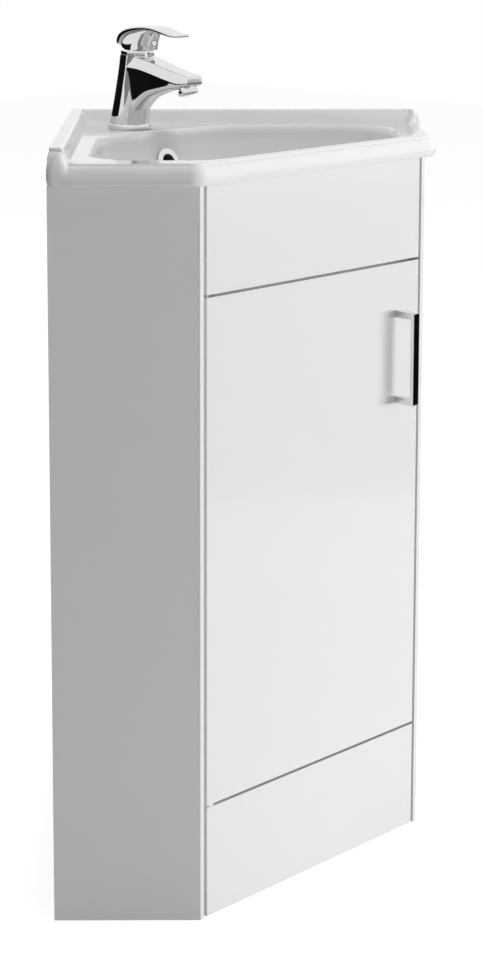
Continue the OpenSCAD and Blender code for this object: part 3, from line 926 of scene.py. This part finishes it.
    def floor_ring(self, half_x: float, radius: float, depth: float) -> list[Point]:
        """Makes a ring with straight sides and round ends around the waste."""
        shape = []
        for k in range(96):
            turn = 2.0 * math.pi * (k + 0.5) / 96.0
            x = radius * math.cos(turn) + math.copysign(half_x, math.cos(turn))
            shape.append((x, self.waste_y + radius * math.sin(turn)))
        return self.cast(shape, self.deck_z - depth)

    def inner_rings(self) -> list[list[Point]]:
        """Makes the rings from the flat deck over the lip and down the bowl to the waste."""
        deck = [place(x, y, self.deck_z) for x, y in self.inner]
        lip = self.bowl_ring(*self.LIP[0])
        rings = []
        for k in range(1, 8):
            share = smoothstep(k / 8.0) * 0.4 + k / 8.0 * 0.6
            rings.append([tuple(Vector(a).lerp(Vector(b), share)) for a, b in zip(deck, lip)])
        rings += [self.bowl_ring(*row) for row in self.LIP]
        first, last = self.BOWL[0][0], self.BOWL[-1][0]
        steps = 24
        for k in range(steps + 1):
            depth = mix(first, last, k / steps)
            front, side = run_through(self.BOWL, depth)
            rings.append(self.bowl_ring(depth, front, side))
        foot = rings[-1]
        rim = self.floor_ring(self.floor_half_x, self.floor_r, self.bowl_depth)
        for share, depth in self.FLOOR:
            z = place(0.0, 0.0, self.deck_z - depth)[2]
            rings.append([
                (mix(a[0], b[0], share), mix(a[1], b[1], share), z) for a, b in zip(foot, rim)
            ])
        rings.append(self.floor_ring(40.0, self.floor_r, 115.8))
        rings.append(self.floor_ring(16.0, self.floor_r, 116.3))
        rings.append(self.floor_ring(0.001, 33.0, self.bowl_depth))
        rings.append(self.floor_ring(0.001, self.waste_hole_r, self.bowl_depth))
        return rings

    def outer_rings(self) -> list[list[Point]]:
        """Makes the rings of the underside, from the waste's boss out to the edge."""
        boss_depth = self.deck_z - self.boss_z
        floor_depth = self.bowl_depth + self.wall_t
        rings = [
            self.floor_ring(0.001, self.waste_hole_r, boss_depth),
            self.floor_ring(0.001, self.boss_r - 1.0, boss_depth),
            self.floor_ring(0.001, self.boss_r, boss_depth - 1.0),
            self.floor_ring(0.001, self.boss_r, floor_depth + 3.0),
            self.floor_ring(0.001, self.boss_r + 3.0, floor_depth),
            self.floor_ring(self.floor_half_x, self.floor_r + self.wall_t - 6.0, floor_depth),
            self.floor_ring(self.floor_half_x, self.floor_r + self.wall_t, floor_depth - 1.5),
        ]
        for depth, front, side in reversed(self.BOWL[1:]):
            rings.append(self.bowl_ring(depth, front - self.wall_t, side - self.wall_t))
        under = self.deck_z - self.under_deck_z
        rings.append(self.bowl_ring(under + 3.0, -2.0, -5.5))
        rings.append(self.bowl_ring(under, -5.0, -8.5))
        for z in (self.under_deck_z, self.under_z + 0.8):
            rings.append([place(x, y, z) for x, y in self.outline(self.recess, self.recess_front)])
        foot = self.outline(self.recess - 0.8, self.recess_front - 0.8)
        rings.append([place(x, y, self.under_z) for x, y in foot])
        return rings

    def channel(self, wall: float) -> list[list[Point]]:
        """Makes the rings of the overflow's channel.

        Args:
            wall: How far its skin lies outside its bore.

        Returns:
            The rings along the channel.
        """
        (y0, z0), (y1, z1), (y2, z2) = self.CHANNEL
        half_w, half_t = self.channel_half_w + wall, self.channel_half_t + wall
        path = [(y0 + 1.5, z0 + 12.0), (y0, z0), (y1 + 3.0, z1 + 5.0), (y1 - 6.0, z1 - 2.0), (y2, z2)]
        rings = []
        for k, (y, z) in enumerate(path):
            ya, za = path[max(k - 1, 0)]
            yb, zb = path[min(k + 1, len(path) - 1)]
            along = Vector((yb - ya, zb - za)).normalized()
            ring = squircle(24, half_w, half_t, 3.0)
            rings.append([place(u, y - v * along.y, z + v * along.x) for u, v in ring])
        return rings

    def build(self, shop: Workshop) -> bpy.types.Object:
        """Builds the basin with its holes.

        Args:
            shop: Signs off the piece.

        Returns:
            The basin.
        """
        rings = self.edge_rings() + self.deck_rings() + self.inner_rings() + self.outer_rings()
        basin = wrap_ring("basin_skin", rings)
        combine(basin, wrap_tube("channel_wall", self.channel(6.0)), Cut.ADD)
        combine(basin, wrap_tube("channel_bore", self.channel(0.0)), Cut.TAKE)
        tap_hole = rod(self.tap_hole_r, 24.0, (0.0, self.tap_y, 786.0))
        combine(basin, tap_hole, Cut.TAKE)
        overflow = rod(
            self.overflow_r, 30.0, (0.0, OVERFLOW_Y + 4.0, OVERFLOW_Z - 1.6),
            90.0 - math.degrees(OVERFLOW_LEAN),
        )
        combine(basin, overflow, Cut.TAKE)
        return shop.sign_off(basin, "basin", Body.UNIT, "ceramic", 38.0)


@dataclass
class OverflowShadeCup:
    """Dark cup in the overflow ring's sleeve, closed at its back: painted shade that stands for the
    unlit channel behind the hole, in mm.
    """

    # Radius and depth behind the bowl's wall, round the painted-shade cup's section
    SECTION = ((8.2, 1.0), (8.7, 1.0), (8.7, 12.0), (0.02, 12.0), (0.02, 11.4), (8.2, 11.4))

    def build(self, shop: Workshop) -> bpy.types.Object:
        """Turns the painted-shade cup about the overflow's axis.

        Args:
            shop: Gives the piece its finish.

        Returns:
            The lining.
        """
        rings = []
        for radius, depth in self.SECTION:
            ring = []
            for x, up in squircle(48, radius, radius, 2.0):
                y = OVERFLOW_Y + depth * math.cos(OVERFLOW_LEAN) + up * math.sin(OVERFLOW_LEAN)
                z = OVERFLOW_Z - depth * math.sin(OVERFLOW_LEAN) + up * math.cos(OVERFLOW_LEAN)
                ring.append(place(x, y, z))
            rings.append(ring)
        # The dark rubber finish here is painted shade for the unlit overflow channel.
        return shop.finish(wrap_ring("overflow_painted_shade_cup", rings), Body.UNIT, "rubber", 40.0)


# ---------- Tap ----------


@dataclass
class TapBody:
    """Leaning column of the tap with its spout, in mm."""

    tap_y: float = 288.0
    lean: float = 13.5
    foot_z: float = 798.5
    top_z: float = 877.0
    voxel: float = 0.65

    # Height, radius and share of the lean along the column
    COLUMN = (
        (795.5, 23.0, 0.0), (799.0, 22.9, 0.0), (806.0, 22.3, 0.08), (815.0, 21.6, 0.20),
        (828.0, 20.9, 0.37), (840.0, 20.4, 0.53), (860.0, 19.9, 0.80), (877.0, 19.7, 1.0),
        (881.0, 19.7, 1.04),
    )
    # Distance in front of the base, half width, top and bottom of the spout
    SPOUT = (
        (6.0, 19.5, 871.4, 803.0), (13.0, 19.4, 874.2, 807.0), (20.0, 19.1, 875.0, 812.0),
        (30.0, 18.0, 874.2, 822.0), (40.0, 16.9, 872.2, 829.5), (55.0, 15.7, 868.4, 835.6),
        (73.0, 14.7, 863.8, 840.8), (90.0, 14.0, 860.2, 844.2), (100.0, 13.7, 858.2, 846.6),
        (103.2, 13.6, 857.5, 847.4), (104.0, 13.4, 857.2, 847.8),
    )

    def column_rings(self) -> list[list[Point]]:
        """Makes the rings of the column."""
        rings = []
        for k in range(24):
            z = mix(self.COLUMN[0][0], self.COLUMN[-1][0], k / 23.0)
            radius, share = run_through(self.COLUMN, z)
            middle = self.tap_y - self.lean * share
            rings.append([place(x, middle + y, z) for x, y in squircle(96, radius, radius, 2.0)])
        return rings

    @staticmethod
    def spout_section(half_w: float, top: float, bottom: float) -> list[Plan]:
        """Draws the spout's section: a flat top, sides that lean out downwards and a round belly.

        Args:
            half_w: Its greatest half width.
            top: Height of its top.
            bottom: Height of its bottom.

        Returns:
            The section's points, as offsets to the side and heights.
        """
        tall = top - bottom
        band = min(0.75 * tall, 12.0)
        waist = top - band
        roundness = min(0.2 * tall, 9.0)
        crown = half_w - 0.24 * band
        belly = (0.97 - 0.004 * tall) * half_w
        corners = [
            (belly, bottom), (half_w, waist), (crown, top),
            (-crown, top), (-half_w, waist), (-belly, bottom),
        ]
        radii = [roundness, 0.4 * roundness, 1.5, 1.5, 0.4 * roundness, roundness]
        return rounded(corners, radii, 8, [(0.25, 0.5, 0.75)] * 6)

    def spout_rings(self) -> list[list[Point]]:
        """Makes the rings of the spout."""
        rings = []
        for k in range(48):
            f = mix(self.SPOUT[0][0], self.SPOUT[-1][0], (k / 47.0) ** 0.8)
            half_w, top, bottom = run_through(self.SPOUT, f)
            section = self.spout_section(half_w, top, bottom)
            rings.append([place(x, self.tap_y - f, z) for x, z in section])
        return rings

    def build(self, shop: Workshop) -> bpy.types.Object:
        """Builds the body with its bores.

        Args:
            shop: Signs off the piece.

        Returns:
            The body.
        """
        body = wrap_tube("tap_body_skin", self.column_rings())
        fuse(body, wrap_tube("spout", self.spout_rings()), self.voxel, 6)
        cut_flat(body, self.foot_z, -1.0)
        cut_flat(body, self.top_z, 1.0)
        combine(body, rod(14.05, 30.0, (0.0, self.tap_y - self.lean, 866.0)), Cut.TAKE)
        combine(body, rod(17.0, 22.0, (0.0, self.tap_y, 797.5)), Cut.TAKE)
        for x, y, radius in ((-8.5, -7.0, 5.0), (8.5, -7.0, 5.0), (0.0, 9.0, 4.05)):
            combine(body, rod(radius, 25.0, (x, self.tap_y + y, 811.0)), Cut.TAKE)
        combine(body, self.aerator_socket(), Cut.TAKE)
        return shop.sign_off(body, "tap_body", Body.UNIT, "chrome", 40.0)

    def aerator_socket(self) -> bpy.types.Object:
        """Makes the cutter for the aerator's seat."""
        tilt = math.radians(20.0)
        lift = 1.0
        y = self.tap_y - 94.0 + lift * math.sin(tilt)
        return rod(10.2, 7.0, (0.0, y, 842.0 + lift * math.cos(tilt)), -20.0)


@dataclass
class TapHead:
    """Dome over the cartridge with the flat lever that runs forward from it, in mm."""

    tap_y: float = 288.0
    axis_y: float = 274.5
    foot_z: float = 882.8
    voxel: float = 0.45

    # Height, rear and front reach from the base's middle, and half width of the dome
    DOME = (
        (880.0, -5.5, 37.5, 18.6), (882.8, -5.5, 38.0, 18.5), (889.5, -5.5, 39.5, 18.0),
        (895.5, -3.5, 42.0, 17.0), (900.5, 0.0, 46.0, 15.5), (904.5, 6.0, 55.0, 13.0),
        (907.5, 14.0, 60.0, 10.0),
    )
    # Distance in front of the base, height, half width and thickness along the strap
    STRAP = (
        (-6.3, 884.5, 13.0, 5.0), (-5.6, 892.5, 15.5, 7.0), (-0.5, 900.5, 16.8, 7.2),
        (9.0, 906.2, 17.0, 6.8), (22.0, 909.0, 16.2, 5.8), (36.0, 909.9, 14.8, 4.8),
        (50.0, 908.9, 13.8, 4.2), (63.0, 906.0, 12.8, 4.0), (75.0, 903.0, 11.4, 3.7),
        (84.0, 902.1, 9.8, 3.3), (88.4, 902.8, 7.8, 2.8),
    )

    def dome_rings(self) -> list[list[Point]]:
        """Makes the rings of the dome."""
        rings = []
        for k in range(26):
            z = mix(self.DOME[0][0], self.DOME[-1][0], k / 25.0)
            rear, front, half_w = run_through(self.DOME, z)
            middle = self.tap_y - (rear + front) / 2.0
            half_l = (front - rear) / 2.0
            rings.append([place(x, middle + y, z) for x, y in squircle(96, half_w, half_l, 2.2)])
        return rings

    def strap_rings(self) -> list[list[Point]]:
        """Makes the rings of the strap that arches over the dome and ends as the lever."""
        lengths = [0.0]
        for a, b in zip(self.STRAP, self.STRAP[1:]):
            lengths.append(lengths[-1] + math.hypot(b[0] - a[0], b[1] - a[1]))
        rows = [(length, *row) for length, row in zip(lengths, self.STRAP)]
        rings = []
        steps = 70
        for k in range(steps + 1):
            at = lengths[-1] * k / steps
            f, z, half_w, thick = run_through(rows, at)
            f0, z0 = run_through(rows, max(at - 0.5, 0.0))[:2]
            f1, z1 = run_through(rows, min(at + 0.5, lengths[-1]))[:2]
            along = Vector((f1 - f0, z1 - z0)).normalized()
            ring = []
            for u, v in squircle(96, half_w, thick / 2.0, 7.0):
                depth = v - thick / 2.0
                ring.append(place(u, self.tap_y - (f - depth * along.y), z + depth * along.x))
            rings.append(ring)
        return rings

    def build(self, shop: Workshop) -> bpy.types.Object:
        """Builds the head with its bores.

        Args:
            shop: Signs off the piece.

        Returns:
            The head.
        """
        head = wrap_tube("tap_head_skin", self.dome_rings())
        fuse(head, wrap_tube("strap", self.strap_rings()), self.voxel, 10)
        cut_flat(head, self.foot_z, -1.0)
        combine(head, self.lift_clearance(), Cut.TAKE)
        combine(head, block((8.0, 6.0, 13.2), (0.0, self.axis_y, 888.4)), Cut.TAKE)
        combine(head, rod(2.8, 20.0, (0.0, self.tap_y - 38.0, 890.5), 75.0), Cut.TAKE)
        return shop.sign_off(head, "tap_head", Body.LEVER, "chrome", 40.0)

    def lift_clearance(self) -> bpy.types.Object:
        """Makes the cutter that lets the head tip back over the nut's ring."""
        tilt = math.radians(20.0)
        out, down = 20.0, -10.0
        y = self.axis_y + out * math.cos(tilt) - down * math.sin(tilt)
        z = self.foot_z + out * math.sin(tilt) + down * math.cos(tilt)
        return block((60.0, 40.0, 20.0), (0.0, y, z), 20.0)


# ---------- Cupboard and fittings that keep their CAD shape ----------


@dataclass
class Fittings:
    """CAD nodes that stay, with fine rounded edges and their finishes."""

    board_edge: float = 0.5
    metal_edge: float = 0.35

    def dress(self, nodes: dict[str, bpy.types.Object], slots: dict[str, str], shop: Workshop) -> None:
        """Gives every shown node its material and softens its edges.

        Args:
            nodes: The CAD nodes by name.
            slots: The material slot of each node.
            shop: Holds the materials.
        """
        for name, obj in nodes.items():
            material = shop.materials[slots[name]]
            if not obj.material_slots:
                obj.data.materials.append(material)
            for entry in obj.material_slots:
                entry.material = material
            self.soften(obj, slots[name])
        log.info("dressed %d nodes", len(nodes))

    def soften(self, obj: bpy.types.Object, slot: str) -> None:
        """Rounds a node's sharp edges with live modifiers.

        Args:
            obj: The node.
            slot: Its material slot.
        """
        weld = obj.modifiers.new("weld", "WELD")
        weld.merge_threshold = 0.00001
        bevel = obj.modifiers.new("soft_edges", "BEVEL")
        bevel.width = (self.board_edge if "board" in slot else self.metal_edge) * MM
        bevel.segments = 2
        bevel.limit_method = "ANGLE"
        bevel.angle_limit = math.radians(40.0)
        bevel.use_clamp_overlap = True


# ---------- Studio ----------


@dataclass
class Studio:
    """Floor, soft light, dark cards for the metal's reflections, and the camera."""

    camera_at: Point = (-1706.36, -1530.74, 1060.30)
    yaw: float = 45.26
    pitch: float = 8.31
    focal_px: float = 2208.42
    middle_x_px: float = 209.63
    middle_y_px: float = 212.0
    frame_w_px: float = 482.0
    frame_h_px: float = 960.0
    sensor: float = 36.0
    room_strength: float = 0.28
    floor_glow: float = 0.74
    # What the lamps and the cards face, in metres
    lamp_aim: Point = (0.0, -0.25, 0.5)
    card_aim: Point = (0.0, -0.11, 0.85)

    def camera(self) -> None:
        """Makes the camera at the photograph's angle."""
        data = bpy.data.cameras.new("photo_camera")
        data.sensor_fit = "AUTO"
        data.sensor_width = self.sensor
        data.lens = self.focal_px / self.frame_h_px * self.sensor
        data.shift_x = (self.frame_w_px / 2.0 - self.middle_x_px) / self.frame_h_px
        data.shift_y = (self.middle_y_px - self.frame_h_px / 2.0) / self.frame_h_px
        data.clip_start = 0.05
        data.clip_end = 60.0
        camera = bpy.data.objects.new("photo_camera", data)
        camera.location = place(*self.camera_at)
        turn = (math.radians(90.0 - self.pitch), 0.0, -math.radians(self.yaw))
        camera.rotation_euler = Euler(turn)
        bpy.context.scene.collection.objects.link(camera)
        bpy.context.scene.camera = camera

    def world(self) -> None:
        """Makes a white room that lights softly and shows white to the camera and in metal."""
        world = bpy.data.worlds.new("white_room")
        world.use_nodes = True
        nodes, links = world.node_tree.nodes, world.node_tree.links
        background = nodes["Background"]
        set_inputs(background, {"Color": (1.0, 1.0, 1.0, 1.0)})
        rays = nodes.new("ShaderNodeLightPath")
        seen = add_node(nodes, "ShaderNodeMath", operation="MAXIMUM")
        clear = add_node(nodes, "ShaderNodeMath", operation="MAXIMUM")
        strength = add_node(
            nodes, "ShaderNodeMapRange", {"To Min": self.room_strength, "To Max": 1.0}
        )
        wire(
            links,
            (rays, "Is Camera Ray", seen, 0), (rays, "Is Glossy Ray", seen, 1),
            (seen, 0, clear, 0), (rays, "Is Transmission Ray", clear, 1),
            (clear, 0, strength, "Value"), (strength, "Result", background, "Strength"),
        )
        bpy.context.scene.world = world

    @staticmethod
    def matt(name: str, grey: float, roughness: float) -> bpy.types.Material:
        """Makes a plain grey material without any gloss.

        Args:
            name: Its name.
            grey: Its lightness.
            roughness: Its roughness.

        Returns:
            The material.
        """
        material = bpy.data.materials.new(name)
        material.use_nodes = True
        set_inputs(material.node_tree.nodes["Principled BSDF"], {
            "Base Color": (grey, grey, grey, 1.0), "Roughness": roughness, "Specular IOR Level": 0.0,
        })
        return material

    def floor(self) -> None:
        """Makes the pale floor, which shows white but keeps the contact shadow."""
        deselect_all()
        bpy.ops.mesh.primitive_plane_add(size=14.0, location=(0.0, -0.3, 0.0))
        floor = bpy.context.active_object
        floor.name = "floor"
        bake_place(floor)
        material = self.matt("floor_paint", 0.80, 0.9)
        nodes, links = material.node_tree.nodes, material.node_tree.links
        shader = nodes["Principled BSDF"]
        rays = nodes.new("ShaderNodeLightPath")
        glow = nodes.new("ShaderNodeEmission")
        strength = add_node(nodes, "ShaderNodeMapRange", {"To Max": self.floor_glow})
        both = nodes.new("ShaderNodeAddShader")
        wire(
            links,
            (rays, "Is Camera Ray", strength, "Value"), (strength, "Result", glow, "Strength"),
            (shader, 0, both, 0), (glow, 0, both, 1),
            (both, 0, nodes["Material Output"], "Surface"),
        )
        floor.data.materials.append(material)

    def lamp(self, name: str, where: Point, size: Plan, power: float) -> None:
        """Adds one soft lamp that faces the unit.

        Args:
            name: Its name.
            where: Its place, in metres.
            size: Its width and height, in metres.
            power: Its power, in watts.
        """
        data = bpy.data.lights.new(name, "AREA")
        data.shape = "RECTANGLE"
        data.size, data.size_y = size
        data.energy = power
        lamp = bpy.data.objects.new(name, data)
        lamp.location = where
        aim = Vector(self.lamp_aim) - Vector(where)
        lamp.rotation_euler = aim.to_track_quat("-Z", "Y").to_euler()
        lamp.visible_glossy = False
        lamp.visible_camera = False
        bpy.context.scene.collection.objects.link(lamp)

    def card(self, name: str, centre: Point, size: Plan) -> None:
        """Hangs one upright dark card that shows only in reflections.

        Args:
            name: Its name.
            centre: Its middle, in metres.
            size: Its width and height, in metres.
        """
        deselect_all()
        facing = Vector(self.card_aim) - Vector(centre)
        facing.z = 0.0
        turn = facing.to_track_quat("Z", "Y").to_euler()
        bpy.ops.mesh.primitive_plane_add(size=1.0, location=centre, rotation=turn)
        card = bpy.context.active_object
        card.name = name
        card.scale = (size[0], size[1], 1.0)
        bake_place(card)
        card.data.materials.append(self.matt(name + "_felt", 0.01, 1.0))
        card.visible_camera = False
        card.visible_diffuse = False
        card.visible_shadow = False
        card.visible_transmission = False

    def build(self) -> None:
        """Builds the whole studio."""
        self.camera()
        self.world()
        self.floor()
        self.lamp("key_light", (2.94, -4.8, 0.5), (3.4, 0.9), 200.0)
        self.lamp("top_light", (0.0, -0.2, 3.2), (0.6, 0.6), 20.0)
        self.lamp("handle_light", (1.59, -2.83, 2.61), (0.4, 0.4), 9.0)
        self.card("rear_card", (-0.51, 1.09, 0.60), (2.03, 0.80))
        self.card("front_card", (1.1, -1.4, 0.3), (1.0, 0.7))
        bpy.context.scene.view_settings.view_transform = "Standard"


def write_sizes() -> None:
    """Updates the view layer."""
    bpy.context.view_layer.update()


def main() -> None:
    """Builds the studio, the finishes and each sub-assembly, in order."""
    logging.basicConfig(level=logging.INFO, format="%(name)s: %(message)s", stream=sys.stdout)
    Studio().build()
    effects = Effects()
    shop = Workshop({finish.slot: finish.build(effects) for finish in FINISHES})
    slots = {part["node"]: part["material_slot"] for part in frame["record"]["subparts"]}
    Fittings().dress(frame["nodes"], slots, shop)
    Basin().build(shop)
    # Adds the dark cup of painted shade inside the overflow hole.
    OverflowShadeCup().build(shop)
    TapBody().build(shop)
    TapHead().build(shop)
    write_sizes()


if __name__ == "__main__":
    main()
